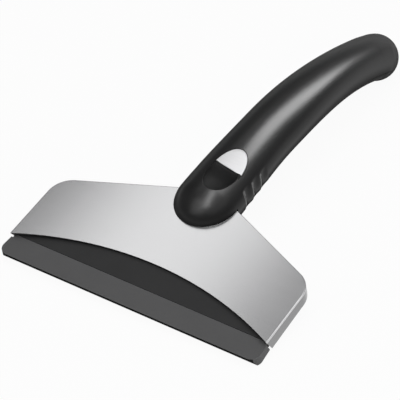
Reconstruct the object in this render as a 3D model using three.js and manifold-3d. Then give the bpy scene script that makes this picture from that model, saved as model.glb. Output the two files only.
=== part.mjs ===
// Hand ice scraper: a steel-capped head with a plastic blade on a hollow two-piece handle.
// Millimetres. The tool is modelled with its head flat, then laid down on its blade and handle tip.
import * as THREE from 'three';
import { mergeVertices } from 'three/addons/utils/BufferGeometryUtils.js';
import Module from 'manifold-3d';

const wasm = await Module();
wasm.setup();

// Clearances
const FIT = 0.3;
const PARTING_GAP = 0.3;
const CUT_PAST = 5;

// Head plan: x across the blade, y from the blade to the handle, z up from the flat top
const HEAD_HALF_WIDTH = 70.4;
const HEAD_SIDE_TAPER = 0.7;
const HEAD_FRONT_Y = -0.5;
const HEAD_CORNER_Y = 37.6;
const HEAD_BACK_Y = 61.4;
const HEAD_CORNER_RADIUS = 12.5;
const FRONT_ARC_RISE = 15.3;
const HEAD_CORNER_HALF_WIDTH = HEAD_HALF_WIDTH - HEAD_SIDE_TAPER;

// Steel shell
const SHEET = 1;
const EDGE_ROLL = 0.6;
const FLANGE_DEPTH = 6.1;
const FLANGE_FRONT_DEPTH = 7.2;
const FLANGE_TAPER_LENGTH = 28;
const FLANGE_FRONT_SLANT = 3.3;

// Core and its sloped ledge
const CORE_TOP = -(SHEET + FIT);
const CORE_BOTTOM = -FLANGE_DEPTH;
const LEDGE_DROP = 1.2;
const LEDGE_CLEAR = 1;
const LEDGE_END_Y = HEAD_FRONT_Y + FRONT_ARC_RISE + LEDGE_CLEAR;

// Blade
const BLADE_OVERHANG = 0.1;
const BLADE_REACH = 12;
const BLADE_THICKNESS = 4.8;
const BLADE_UNDERCUT = 2;
const BLADE_CORNER_RADIUS = 4.5;
const BLADE_END_TAPER = 0.7;
const BLADE_BACK_Y = 1.6;
const BLADE_TOP = CORE_TOP - LEDGE_DROP;
const BLADE_NOTCH_GAP = 0.9;
const BLADE_HALF_WIDTH = HEAD_HALF_WIDTH + BLADE_OVERHANG;
const TONGUE_SIDE_MARGIN = 8.8;
const TONGUE_END_MARGIN = 6;
const TONGUE_THICKNESS = 1.8;
const TONGUE_ROOT = 3;
const TONGUE_HALF_WIDTH = HEAD_HALF_WIDTH - TONGUE_SIDE_MARGIN;

// Countersunk screws in the head
const HEAD_SCREW_SHAFT = 3;
const HEAD_SCREW_HEAD = 5.4;
const HEAD_SCREW_HEAD_HEIGHT = 1.2;
const HEAD_SCREW_TIP_CLEAR = 0.3;
const BLADE_SCREW_COUNT = 4;
const BLADE_SCREW_SET_BACK = 5;
const BLADE_SCREW_PITCH = (2 * TONGUE_HALF_WIDTH) / BLADE_SCREW_COUNT;
const BLADE_SCREW_Y = LEDGE_END_Y + BLADE_SCREW_SET_BACK;
const TONGUE_END_Y = BLADE_SCREW_Y + TONGUE_END_MARGIN;
const TANG_SCREW_COUNT = 2;
const TANG_SCREW_PITCH = 14;
const TANG_SCREW_SET_BACK = 6;

// Tang
const TANG_WIDTH = 18;
const TANG_THICKNESS = 2;
const TANG_SET_BACK = 6;
const TANG_END_MARGIN = 8;
const TANG_START_Y = TONGUE_END_Y + TANG_SET_BACK;
const TANG_TOP = CORE_BOTTOM + TANG_THICKNESS;
const TANG_WINDOW_MARGIN = 2;
const HEAD_BACK_HALF_WIDTH = TANG_WIDTH / 2 + TANG_WINDOW_MARGIN;

// Handle: an elliptical section swept along a line that bends down to the tip
const NOSE_TIP_Y = 41.5;
const NOSE_ROOT_Y = 59;
const NOSE_HALF_WIDTH = 15.9;
const NOSE_HALF_HEIGHT = 12.5;
const GRIP_Y = 112;
const GRIP_HALF_WIDTH = 14.1;
const GRIP_HALF_HEIGHT = 12.5;
const NECK_HALF_WIDTH = 11.5;
const NECK_HALF_HEIGHT = 11.3;
const TIP_Y = 199.1;
const TIP_RADIUS = 11.6;
const TIP_SINK = 0.7;
const TIP_TUCK = 0.2;
const NECK_SET_BACK = 9.3;
const NECK_Y = TIP_Y - NECK_SET_BACK;
const AXIS_Z = -2.3;
const BEND_START_Y = 70;
const BEND_DROP = 32.1;
const BEND_POWER = 2.6;
const PARTING_OFFSET = -(FLANGE_DEPTH + AXIS_Z + FIT);
const HANDLE_WALL = 3;
const HEAD_STOP_WALL = 6.2;
const HOLLOW_START_Y = HEAD_BACK_Y + FIT + HEAD_STOP_WALL;

// Thumb recess and its inlay
const RECESS_X = 2.8;
const RECESS_Y = 71.3;
const RECESS_HALF_WIDTH = 7.7;
const RECESS_HALF_LENGTH = 13.9;
const RECESS_DEPTH = 4.6;
const RECESS_TILT = THREE.MathUtils.degToRad(10);
const RECESS_TURN = THREE.MathUtils.degToRad(-4);
const RECESS_FLOOR = 2.5;
const INLAY_FRONT = 2.2;
const INLAY_SINK = 1.6;
const INLAY_THICKNESS = 1;

// Grip grooves on both sides
const GROOVE_COUNT = 3;
const GROOVE_FIRST_Y = 69.6;
const GROOVE_PITCH = 6.8;
const GROOVE_DEPTH = 0.9;
const GROOVE_HALF_LENGTH = 9.5;
const GROOVE_HALF_WIDTH = 2.1;
const GROOVE_DROP = 1;

// Handle screws
const HANDLE_SCREW_SHAFT = 3.4;
const HANDLE_SCREW_HEAD = 6;
const HANDLE_SCREW_HEAD_HEIGHT = 2.2;
const HANDLE_SCREW_SEAT = 3;
const HANDLE_SCREW_BITE = 6.5;
const CLAMP_SCREW_SET_BACK = 9.5;
const CLAMP_SCREW_PITCH = 24;
const BACK_SCREW_SET_BACK = 20;
const BACK_SCREW_PITCH = 34;
const POST_WALL = 2.8;
const POST_DIAMETER = HANDLE_SCREW_SHAFT + 2 * (FIT + POST_WALL);

// Cross recess in every screw head
const CROSS_SPAN = 3;
const CROSS_WIDTH = 0.8;
const CROSS_DEPTH = 0.7;

// Fineness of round shapes
const SECTION_SIDES = 36;
const HOLLOW_SIDES = 16;
const NOSE_RINGS = 7;
const HANDLE_STEP = 8;
const BOWL_SIDES = 24;
const GROOVE_SIDES = 16;
const SCREW_SIDES = 16;
const ARC_STEPS = 36;
const CORNER_STEPS = 10;
const ROLL_STEPS = 3;

// Materials
function finish(color, roughness, metalness) {
  return new THREE.MeshStandardMaterial({ color, roughness, metalness });
}
const satinSteel = finish(0xc4c6c8, 0.32, 1);
const brightSteel = finish(0xe2e2e0, 0.22, 1);
const screwSteel = finish(0x9a9b9c, 0.35, 1);
const blackPlastic = finish(0x151516, 0.36, 0);
const corePlastic = finish(0x1c1c1d, 0.55, 0);
const bladePlastic = finish(0x3c3d3e, 0.45, 0);

// Closed mesh to solid and back
function solid(geometry) {
  const bare = geometry.clone();
  bare.deleteAttribute('normal');
  bare.deleteAttribute('uv');
  const merged = mergeVertices(bare, 1e-4);
  const vertProperties = new Float32Array(merged.attributes.position.array);
  const triVerts = new Uint32Array(merged.index.array);
  return new wasm.Manifold(new wasm.Mesh({ numProp: 3, vertProperties, triVerts }));
}

function geometryOf(body) {
  const mesh = body.getMesh();
  const geometry = new THREE.BufferGeometry();
  geometry.setAttribute('position', new THREE.BufferAttribute(new Float32Array(mesh.vertProperties), 3));
  geometry.setIndex(new THREE.BufferAttribute(new Uint32Array(mesh.triVerts), 1));
  geometry.computeVertexNormals();
  return geometry;
}

function box(x0, x1, y0, y1, z0, z1) {
  const geometry = new THREE.BoxGeometry(x1 - x0, y1 - y0, z1 - z0);
  geometry.translate((x0 + x1) / 2, (y0 + y1) / 2, (z0 + z1) / 2);
  return solid(geometry);
}

// Plan outline (x, y) raised from z0 to z1
function planPrism(shape, z0, z1) {
  const geometry = new THREE.ExtrudeGeometry(shape, {
    depth: z1 - z0,
    bevelEnabled: false,
    curveSegments: CORNER_STEPS,
  });
  geometry.translate(0, 0, z0);
  return solid(geometry);
}

// Side outline (y, z) drawn across the tool from -halfWidth to halfWidth
function sidePrism(points, halfWidth) {
  const shape = new THREE.Shape(points.map(([y, z]) => new THREE.Vector2(y, z)));
  const geometry = new THREE.ExtrudeGeometry(shape, { depth: 2 * halfWidth, bevelEnabled: false });
  geometry.translate(0, 0, -halfWidth);
  const axes = new THREE.Matrix4().makeBasis(
    new THREE.Vector3(0, 1, 0),
    new THREE.Vector3(0, 0, 1),
    new THREE.Vector3(1, 0, 0),
  );
  geometry.applyMatrix4(axes);
  return solid(geometry);
}

// Head outline, drawn in by inset, with its back corners rounded
function headOutline(inset) {
  const corners = [
    [-HEAD_HALF_WIDTH, HEAD_FRONT_Y],
    [HEAD_HALF_WIDTH, HEAD_FRONT_Y],
    [HEAD_CORNER_HALF_WIDTH, HEAD_CORNER_Y],
    [HEAD_BACK_HALF_WIDTH, HEAD_BACK_Y],
    [-HEAD_BACK_HALF_WIDTH, HEAD_BACK_Y],
    [-HEAD_CORNER_HALF_WIDTH, HEAD_CORNER_Y],
  ].map(([x, y]) => new THREE.Vector2(x, y));
  const inner = corners.map((corner, i) => insetCorner(corners, i, inset));
  const shape = new THREE.Shape();
  shape.moveTo(inner[0].x, inner[0].y);
  shape.lineTo(inner[1].x, inner[1].y);
  roundCorner(shape, inner[1], inner[2], inner[3], HEAD_CORNER_RADIUS - inset);
  shape.lineTo(inner[3].x, inner[3].y);
  shape.lineTo(inner[4].x, inner[4].y);
  roundCorner(shape, inner[4], inner[5], inner[0], HEAD_CORNER_RADIUS - inset);
  shape.closePath();
  return shape;
}

// Corner i of a counter-clockwise outline, moved in by the same distance from both its edges
function insetCorner(corners, i, inset) {
  const corner = corners[i];
  const before = corners[(i + corners.length - 1) % corners.length];
  const after = corners[(i + 1) % corners.length];
  const into = corner.clone().sub(before).normalize();
  const out = after.clone().sub(corner).normalize();
  const normalIn = new THREE.Vector2(-into.y, into.x);
  const normalOut = new THREE.Vector2(-out.y, out.x);
  const bisector = normalIn.clone().add(normalOut);
  return corner.clone().addScaledVector(bisector, inset / (1 + normalIn.dot(normalOut)));
}

// Arc of the given radius in the corner between two straight edges
function roundCorner(shape, before, corner, after, radius) {
  const back = before.clone().sub(corner).normalize();
  const ahead = after.clone().sub(corner).normalize();
  const halfAngle = Math.acos(back.dot(ahead)) / 2;
  const start = corner.clone().addScaledVector(back, radius / Math.tan(halfAngle));
  const middle = back.clone().add(ahead).normalize();
  const centre = corner.clone().addScaledVector(middle, radius / Math.sin(halfAngle));
  const sweep = Math.PI - 2 * halfAngle;
  const first = Math.atan2(start.y - centre.y, start.x - centre.x);
  shape.lineTo(start.x, start.y);
  shape.absarc(centre.x, centre.y, radius, first, first + sweep, false);
}

// Everything in front of the arc-cut edge of the shell
function arcFront(bottom, top) {
  const radius = (HEAD_HALF_WIDTH ** 2 + FRONT_ARC_RISE ** 2) / (2 * FRONT_ARC_RISE);
  const centreY = HEAD_FRONT_Y + FRONT_ARC_RISE - radius;
  const halfSweep = Math.asin(HEAD_HALF_WIDTH / radius);
  const shape = new THREE.Shape();
  for (let i = 0; i <= ARC_STEPS; i += 1) {
    const angle = halfSweep * (1 - (2 * i) / ARC_STEPS);
    const x = radius * Math.sin(angle);
    const y = centreY + radius * Math.cos(angle);
    if (i === 0) shape.moveTo(x, y);
    else shape.lineTo(x, y);
  }
  shape.lineTo(-HEAD_HALF_WIDTH - CUT_PAST, HEAD_FRONT_Y);
  shape.lineTo(-HEAD_HALF_WIDTH - CUT_PAST, HEAD_FRONT_Y - CUT_PAST);
  shape.lineTo(HEAD_HALF_WIDTH + CUT_PAST, HEAD_FRONT_Y - CUT_PAST);
  shape.lineTo(HEAD_HALF_WIDTH + CUT_PAST, HEAD_FRONT_Y);
  shape.closePath();
  return planPrism(shape, bottom, top);
}

// Slanted front end of the side flanges, moved forward by ahead
function flangeFront(ahead) {
  const slope = FLANGE_FRONT_SLANT / FLANGE_FRONT_DEPTH;
  const low = -(FLANGE_FRONT_DEPTH + CUT_PAST);
  const lowY = HEAD_FRONT_Y - ahead - slope * low;
  return { topY: HEAD_FRONT_Y - ahead, low, lowY };
}

function makeShell() {
  const blank = new THREE.ExtrudeGeometry(headOutline(0), {
    depth: FLANGE_FRONT_DEPTH,
    bevelEnabled: true,
    bevelThickness: EDGE_ROLL,
    bevelSize: EDGE_ROLL,
    bevelOffset: -EDGE_ROLL,
    bevelSegments: ROLL_STEPS,
    curveSegments: CORNER_STEPS,
  });
  blank.translate(0, 0, -EDGE_ROLL - FLANGE_FRONT_DEPTH);
  const inside = planPrism(headOutline(SHEET), -FLANGE_FRONT_DEPTH - CUT_PAST, -SHEET);
  const wide = HEAD_HALF_WIDTH + CUT_PAST;
  const deep = -FLANGE_FRONT_DEPTH - CUT_PAST;
  const lowerEdge = sidePrism(
    [
      [HEAD_FRONT_Y - CUT_PAST, deep],
      [HEAD_BACK_Y + CUT_PAST, deep],
      [HEAD_BACK_Y + CUT_PAST, -FLANGE_DEPTH],
      [HEAD_FRONT_Y + FLANGE_TAPER_LENGTH, -FLANGE_DEPTH],
      [HEAD_FRONT_Y, -FLANGE_FRONT_DEPTH],
      [HEAD_FRONT_Y - CUT_PAST, -FLANGE_FRONT_DEPTH],
    ],
    wide,
  );
  const slant = flangeFront(0);
  const frontEnd = sidePrism(
    [
      [slant.topY - CUT_PAST, slant.low],
      [slant.lowY, slant.low],
      [slant.topY, 0],
      [slant.topY - CUT_PAST, 0],
    ],
    wide,
  );
  const tangHalf = TANG_WIDTH / 2 + FIT;
  const behind = HEAD_BACK_Y + CUT_PAST;
  const tangWindow = box(-tangHalf, tangHalf, HEAD_BACK_Y - CUT_PAST, behind, deep, TANG_TOP + FIT);
  return solid(blank)
    .subtract(inside)
    .subtract(lowerEdge)
    .subtract(arcFront(deep, CUT_PAST))
    .subtract(frontEnd)
    .subtract(tangWindow);
}

// Places of the screws
const bladeScrewPlaces = [];
for (let i = 0; i < BLADE_SCREW_COUNT; i += 1) {
  bladeScrewPlaces.push([(i - (BLADE_SCREW_COUNT - 1) / 2) * BLADE_SCREW_PITCH, BLADE_SCREW_Y]);
}
const tangScrewPlaces = [];
for (let i = 0; i < TANG_SCREW_COUNT; i += 1) {
  tangScrewPlaces.push([0, TANG_START_Y + TANG_SCREW_SET_BACK + i * TANG_SCREW_PITCH]);
}
const clampScrewY = HOLLOW_START_Y + CLAMP_SCREW_SET_BACK;
const backScrewY = TIP_Y - BACK_SCREW_SET_BACK;
const clampScrewYs = [clampScrewY, clampScrewY + CLAMP_SCREW_PITCH];
const handleScrewYs = [...clampScrewYs, backScrewY - BACK_SCREW_PITCH, backScrewY];
const tangEndY = clampScrewY + CLAMP_SCREW_PITCH + TANG_END_MARGIN;

// Round solid about z from a list of (radius, z) that starts and ends on the axis
function turned(profile) {
  const points = profile.map(([r, z]) => new THREE.Vector2(r, z));
  const geometry = new THREE.LatheGeometry(points, SCREW_SIDES);
  geometry.rotateX(Math.PI / 2);
  return solid(geometry);
}

// Round bar about z, as far up as down
function rod(radius, reach) {
  return turned([
    [0, -reach],
    [radius, -reach],
    [radius, reach],
    [0, reach],
  ]);
}

function crossRecess(z) {
  const half = CROSS_SPAN / 2;
  const thin = CROSS_WIDTH / 2;
  const low = z - CUT_PAST;
  const high = z + CROSS_DEPTH;
  return box(-half, half, -thin, thin, low, high).add(box(-thin, thin, -half, half, low, high));
}

// Countersunk screw with its flat head at z = 0 and its shaft pointing up
const headScrewLength = CORE_TOP - HEAD_SCREW_TIP_CLEAR - CORE_BOTTOM;
function makeHeadScrew() {
  const shaft = HEAD_SCREW_SHAFT / 2;
  const head = HEAD_SCREW_HEAD / 2;
  const profile = [
    [0, 0],
    [head, 0],
    [shaft, HEAD_SCREW_HEAD_HEIGHT],
    [shaft, headScrewLength],
    [0, headScrewLength],
  ];
  return turned(profile).subtract(crossRecess(0));
}

// Hole for that screw, wider all round by the fit
function headScrewHole() {
  const shaft = HEAD_SCREW_SHAFT / 2 + FIT;
  const head = HEAD_SCREW_HEAD / 2 + FIT;
  const rise = HEAD_SCREW_HEAD_HEIGHT + FIT;
  const past = headScrewLength + CUT_PAST;
  const profile = [
    [0, -CUT_PAST],
    [head, -CUT_PAST],
    [head, FIT / 2],
    [shaft, rise],
    [shaft, past],
    [0, past],
  ];
  return turned(profile);
}

function drill(body, places) {
  const hole = headScrewHole();
  return places.reduce((left, [x, y]) => left.subtract(hole.translate([x, y, CORE_BOTTOM])), body);
}

function makeCore() {
  const blank = planPrism(headOutline(SHEET + FIT), CORE_BOTTOM, CORE_TOP);
  const wide = HEAD_HALF_WIDTH + CUT_PAST;
  const low = CORE_BOTTOM - CUT_PAST;
  const frontY = BLADE_BACK_Y + FIT;
  const aheadY = Math.min(HEAD_FRONT_Y, frontY) - CUT_PAST;
  const behindY = HEAD_BACK_Y + CUT_PAST;
  const beforeFront = box(-wide, wide, aheadY, frontY, low, CUT_PAST);
  const overLedge = sidePrism(
    [
      [aheadY, CUT_PAST],
      [aheadY, BLADE_TOP],
      [frontY, BLADE_TOP],
      [LEDGE_END_Y, CORE_TOP],
      [LEDGE_END_Y, CUT_PAST],
    ],
    wide,
  );
  const tongueTop = CORE_BOTTOM + TONGUE_THICKNESS + FIT;
  const tongueHalf = TONGUE_HALF_WIDTH + FIT;
  const tonguePocket = box(-tongueHalf, tongueHalf, aheadY, TONGUE_END_Y + FIT, low, tongueTop);
  const tangHalf = TANG_WIDTH / 2 + FIT;
  const tangPocket = box(-tangHalf, tangHalf, TANG_START_Y - FIT, behindY, low, TANG_TOP + FIT);
  const body = blank
    .subtract(beforeFront)
    .subtract(overLedge)
    .subtract(tonguePocket)
    .subtract(tangPocket);
  return drill(drill(body, bladeScrewPlaces), tangScrewPlaces);
}

function makeBlade() {
  const frontY = BLADE_BACK_Y - BLADE_REACH;
  const half = BLADE_HALF_WIDTH;
  const round = BLADE_CORNER_RADIUS;
  const plan = new THREE.Shape();
  plan.moveTo(half - BLADE_END_TAPER, BLADE_BACK_Y);
  plan.lineTo(-half + BLADE_END_TAPER, BLADE_BACK_Y);
  plan.lineTo(-half, frontY + round);
  plan.absarc(-half + round, frontY + round, round, Math.PI, 1.5 * Math.PI, false);
  plan.lineTo(half - round, frontY);
  plan.absarc(half - round, frontY + round, round, 1.5 * Math.PI, 2 * Math.PI, false);
  plan.closePath();
  const bottom = BLADE_TOP - BLADE_THICKNESS;
  const slope = BLADE_UNDERCUT / BLADE_THICKNESS;
  const undercut = sidePrism(
    [
      [frontY, BLADE_TOP],
      [frontY - CUT_PAST, BLADE_TOP],
      [frontY - CUT_PAST, bottom - CUT_PAST],
      [frontY + BLADE_UNDERCUT + slope * CUT_PAST, bottom - CUT_PAST],
    ],
    half + CUT_PAST,
  );
  const slant = flangeFront(BLADE_NOTCH_GAP);
  const pastBack = Math.max(slant.lowY, BLADE_BACK_Y) + CUT_PAST;
  const sideNotch = sidePrism(
    [
      [slant.lowY, slant.low],
      [pastBack, slant.low],
      [pastBack, CUT_PAST],
      [slant.topY, CUT_PAST],
      [slant.topY, 0],
    ],
    half + CUT_PAST,
  );
  const inner = HEAD_HALF_WIDTH - SHEET - FIT;
  const aheadY = frontY - CUT_PAST;
  const between = box(-inner, inner, aheadY, pastBack + CUT_PAST, slant.low - CUT_PAST, 2 * CUT_PAST);
  const bar = planPrism(plan, bottom, BLADE_TOP)
    .subtract(undercut)
    .subtract(sideNotch.subtract(between));
  const tongueHalf = TONGUE_HALF_WIDTH;
  const tongueStart = BLADE_BACK_Y - TONGUE_ROOT;
  const tongueTop = CORE_BOTTOM + TONGUE_THICKNESS;
  const tongue = box(-tongueHalf, tongueHalf, tongueStart, TONGUE_END_Y, CORE_BOTTOM, tongueTop);
  return drill(bar.add(tongue), bladeScrewPlaces);
}

function makeTang() {
  const half = TANG_WIDTH / 2;
  const plan = new THREE.Shape();
  plan.moveTo(-half, TANG_START_Y);
  plan.lineTo(half, TANG_START_Y);
  plan.lineTo(half, tangEndY - half);
  plan.absarc(0, tangEndY - half, half, 0, Math.PI, false);
  plan.closePath();
  const holeRadius = HANDLE_SCREW_SHAFT / 2 + FIT;
  const hole = rod(holeRadius, 2 * NOSE_HALF_HEIGHT);
  const bar = drill(planPrism(plan, CORE_BOTTOM, TANG_TOP), tangScrewPlaces);
  return clampScrewYs.reduce((left, y) => left.subtract(placed(hole, y)), bar);
}

// Middle line of the handle: level at the nose, then bending down, straight past the tip
function axisZ(y) {
  if (y <= BEND_START_Y) return AXIS_Z;
  if (y > TIP_Y) return axisZ(TIP_Y) + axisSlope(TIP_Y) * (y - TIP_Y);
  return AXIS_Z - BEND_DROP * ((y - BEND_START_Y) / (TIP_Y - BEND_START_Y)) ** BEND_POWER;
}

function axisSlope(y) {
  if (y <= BEND_START_Y) return 0;
  const reach = TIP_Y - BEND_START_Y;
  const along = (Math.min(y, TIP_Y) - BEND_START_Y) / reach;
  return (-BEND_DROP * BEND_POWER * along ** (BEND_POWER - 1)) / reach;
}

// Point at height w over the middle line, square to it, as (y, z)
function overAxis(y, w) {
  const turn = Math.atan(axisSlope(y));
  return [y - w * Math.sin(turn), axisZ(y) + w * Math.cos(turn)];
}

// Frame on the middle line: z square to it, x across the tool
function handlePlace(y) {
  const turn = new THREE.Matrix4().makeRotationX(Math.atan(axisSlope(y)));
  return turn.setPosition(0, y, axisZ(y));
}

function placed(body, y) {
  return body.transform(handlePlace(y).toArray());
}

// Half width and half height of the handle at y
function handleSize(y) {
  if (y < GRIP_Y) {
    const t = eased((y - NOSE_ROOT_Y) / (GRIP_Y - NOSE_ROOT_Y));
    return [
      THREE.MathUtils.lerp(NOSE_HALF_WIDTH, GRIP_HALF_WIDTH, t),
      THREE.MathUtils.lerp(NOSE_HALF_HEIGHT, GRIP_HALF_HEIGHT, t),
    ];
  }
  if (y > NECK_Y) {
    const t = (y - NECK_Y) / (TIP_Y - NECK_Y);
    const tipSize = TIP_RADIUS - TIP_SINK - TIP_TUCK;
    return [
      THREE.MathUtils.lerp(NECK_HALF_WIDTH, tipSize, t),
      THREE.MathUtils.lerp(NECK_HALF_HEIGHT, tipSize, t),
    ];
  }
  const t = eased((y - GRIP_Y) / (NECK_Y - GRIP_Y));
  return [
    THREE.MathUtils.lerp(GRIP_HALF_WIDTH, NECK_HALF_WIDTH, t),
    THREE.MathUtils.lerp(GRIP_HALF_HEIGHT, NECK_HALF_HEIGHT, t),
  ];
}

// Level at both ends, from 0 to 1
function eased(t) {
  return (1 - Math.cos(Math.PI * THREE.MathUtils.clamp(t, 0, 1))) / 2;
}

// Closed skin over rings of (y, half width, half height), with a point or flat cap at each end
function sweep(rings, sides) {
  const positions = [];
  const indices = [];
  for (const [y, halfWidth, halfHeight] of rings) {
    for (let i = 0; i < sides; i += 1) {
      const angle = (2 * Math.PI * i) / sides;
      const [py, pz] = overAxis(y, halfHeight * Math.sin(angle));
      positions.push(halfWidth * Math.cos(angle), py, pz);
    }
  }
  const caps = [rings[0], rings[rings.length - 1]];
  for (const [y] of caps) {
    positions.push(0, y, axisZ(y));
  }
  const firstCap = rings.length * sides;
  for (let r = 0; r < rings.length - 1; r += 1) {
    for (let i = 0; i < sides; i += 1) {
      const next = (i + 1) % sides;
      const a = r * sides + i;
      const b = r * sides + next;
      indices.push(a, b, a + sides, b, b + sides, a + sides);
    }
  }
  for (let i = 0; i < sides; i += 1) {
    const next = (i + 1) % sides;
    const last = (rings.length - 1) * sides;
    indices.push(firstCap, next, i);
    indices.push(firstCap + 1, last + i, last + next);
  }
  const geometry = new THREE.BufferGeometry();
  geometry.setAttribute('position', new THREE.Float32BufferAttribute(positions, 3));
  geometry.setIndex(indices);
  return orientOut(geometry);
}

// Faces turned outward, whichever way the rings ran
function orientOut(geometry) {
  const position = geometry.attributes.position;
  const index = geometry.index.array;
  const corner = (k) => new THREE.Vector3().fromBufferAttribute(position, index[k]);
  let volume = 0;
  for (let k = 0; k < index.length; k += 3) {
    volume += corner(k).dot(corner(k + 1).cross(corner(k + 2)));
  }
  if (volume < 0) geometry.setIndex(Array.from(index).reverse());
  return geometry;
}

function handleRings(startY, endY, inset) {
  const count = Math.round((endY - startY) / HANDLE_STEP);
  const rings = [];
  for (let i = 0; i <= count; i += 1) {
    const y = startY + ((endY - startY) * i) / count;
    const [halfWidth, halfHeight] = handleSize(y);
    rings.push([y, halfWidth - inset, halfHeight - inset]);
  }
  return rings;
}

// Whole outer form of the handle: rounded nose, swept grip and ball tip
function handleForm() {
  const nose = [];
  for (let i = 1; i < NOSE_RINGS; i += 1) {
    const angle = (Math.PI / 2) * (i / NOSE_RINGS);
    const y = NOSE_ROOT_Y - (NOSE_ROOT_Y - NOSE_TIP_Y) * Math.cos(angle);
    nose.push([y, NOSE_HALF_WIDTH * Math.sin(angle), NOSE_HALF_HEIGHT * Math.sin(angle)]);
  }
  const ball = new THREE.SphereGeometry(TIP_RADIUS, SECTION_SIDES, SECTION_SIDES / 2);
  ball.rotateZ(Math.PI / 2);
  ball.translate(0, ...tipCentre());
  return solid(sweep([...nose, ...handleRings(NOSE_ROOT_Y, TIP_Y, 0)], SECTION_SIDES)).add(solid(ball));
}

function tipCentre() {
  return overAxis(TIP_Y, -TIP_SINK);
}

// Region under the parting line, lifted or lowered by shift
function underParting(shift) {
  const points = [];
  const endY = TIP_Y + 3 * TIP_RADIUS;
  const startY = NOSE_TIP_Y - CUT_PAST;
  const steps = Math.round((endY - startY) / HANDLE_STEP);
  for (let i = 0; i <= steps; i += 1) {
    points.push(overAxis(startY + ((endY - startY) * i) / steps, PARTING_OFFSET + shift));
  }
  const floor = axisZ(endY) - 3 * TIP_RADIUS;
  points.push([endY, floor], [startY, floor]);
  return sidePrism(points, 2 * NOSE_HALF_WIDTH);
}

// Thumb recess frame: origin on the handle's top, x across, y along, z out of the surface
function recessPlace() {
  const [halfWidth, halfHeight] = handleSize(RECESS_Y);
  const top = AXIS_Z + halfHeight * Math.sqrt(1 - (RECESS_X / halfWidth) ** 2);
  const turn = new THREE.Euler(0, RECESS_TILT, RECESS_TURN, 'YZX');
  return new THREE.Matrix4().makeRotationFromEuler(turn).setPosition(RECESS_X, RECESS_Y, top);
}

function ovalPrism(inset, z0, z1) {
  const shape = new THREE.Shape();
  shape.absellipse(0, 0, RECESS_HALF_WIDTH - inset, RECESS_HALF_LENGTH - inset, 0, 2 * Math.PI, false);
  const geometry = new THREE.ExtrudeGeometry(shape, {
    depth: z1 - z0,
    bevelEnabled: false,
    curveSegments: BOWL_SIDES,
  });
  geometry.translate(0, 0, z0);
  return solid(geometry);
}

// Slab along the inlay: its face falls from the back of the recess to its straight front edge
function inlaySlab(under, over, frontY) {
  const slope = INLAY_SINK / (RECESS_HALF_LENGTH - INLAY_FRONT);
  const backY = RECESS_HALF_LENGTH + CUT_PAST;
  const face = (y) => slope * (y - RECESS_HALF_LENGTH);
  const outline = [
    [frontY, face(frontY) - under],
    [backY, face(backY) - under],
    [backY, face(backY) + over],
    [frontY, face(frontY) + over],
  ];
  return sidePrism(outline, RECESS_HALF_WIDTH + CUT_PAST);
}

function makeInlay() {
  const slab = inlaySlab(INLAY_THICKNESS, 0, INLAY_FRONT);
  const oval = ovalPrism(FIT, -2 * CUT_PAST, 2 * CUT_PAST);
  return slab.intersect(oval).transform(recessPlace().toArray());
}

function recessCut() {
  const oval = ovalPrism(0, -2 * CUT_PAST, 2 * CUT_PAST);
  const seat = inlaySlab(INLAY_THICKNESS + FIT, 2 * CUT_PAST, INLAY_FRONT).intersect(oval);
  const bowl = new THREE.SphereGeometry(1, BOWL_SIDES, BOWL_SIDES / 2);
  bowl.scale(RECESS_HALF_WIDTH, RECESS_HALF_LENGTH, RECESS_DEPTH);
  const reach = RECESS_HALF_LENGTH + CUT_PAST;
  const frontHalf = box(-reach, reach, -reach, INLAY_FRONT, -reach, reach);
  const overBowl = ovalPrism(0, 0, 2 * CUT_PAST);
  const scoop = solid(bowl).add(overBowl).intersect(frontHalf);
  return seat.add(scoop).transform(recessPlace().toArray());
}

function grooveCuts() {
  const bead = new THREE.SphereGeometry(1, GROOVE_SIDES, GROOVE_SIDES / 2);
  let cuts = null;
  for (let i = 0; i < GROOVE_COUNT; i += 1) {
    const y = GROOVE_FIRST_Y + i * GROOVE_PITCH;
    const [halfWidth] = handleSize(y);
    for (const side of [-1, 1]) {
      const groove = bead.clone();
      groove.scale(GROOVE_DEPTH, GROOVE_HALF_WIDTH, GROOVE_HALF_LENGTH);
      groove.translate(side * halfWidth, y, axisZ(y) - GROOVE_DROP);
      cuts = cuts ? cuts.add(solid(groove)) : solid(groove);
    }
  }
  return cuts;
}

// Hollow of the handle, with a post left standing round each screw and a floor under the recess
function handleHollow() {
  const hollow = solid(sweep(handleRings(HOLLOW_START_Y, NECK_Y, HANDLE_WALL), HOLLOW_SIDES));
  const [, halfHeight] = handleSize(RECESS_Y);
  const ceiling = halfHeight - RECESS_DEPTH - RECESS_FLOOR + AXIS_Z;
  const guardEnd = RECESS_Y + RECESS_HALF_LENGTH + RECESS_FLOOR;
  const wide = 2 * NOSE_HALF_WIDTH;
  const guard = box(-wide, wide, 0, guardEnd, ceiling, ceiling + wide);
  const post = rod(POST_DIAMETER / 2, wide);
  return handleScrewYs.reduce((left, y) => left.subtract(placed(post, y)), hollow.subtract(guard));
}

// Heights over the middle line at a handle screw: seat under its head and tip of its shaft
const screwSeat = PARTING_OFFSET - HANDLE_SCREW_SEAT;
const screwTip = PARTING_OFFSET + HANDLE_SCREW_BITE;

function makeHandleScrew() {
  const shaft = HANDLE_SCREW_SHAFT / 2;
  const head = HANDLE_SCREW_HEAD / 2;
  const under = screwSeat - FIT;
  const low = under - HANDLE_SCREW_HEAD_HEIGHT;
  const profile = [
    [0, low],
    [head, low],
    [head, under],
    [shaft, under],
    [shaft, screwTip],
    [0, screwTip],
  ];
  return turned(profile).subtract(crossRecess(low));
}

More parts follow.
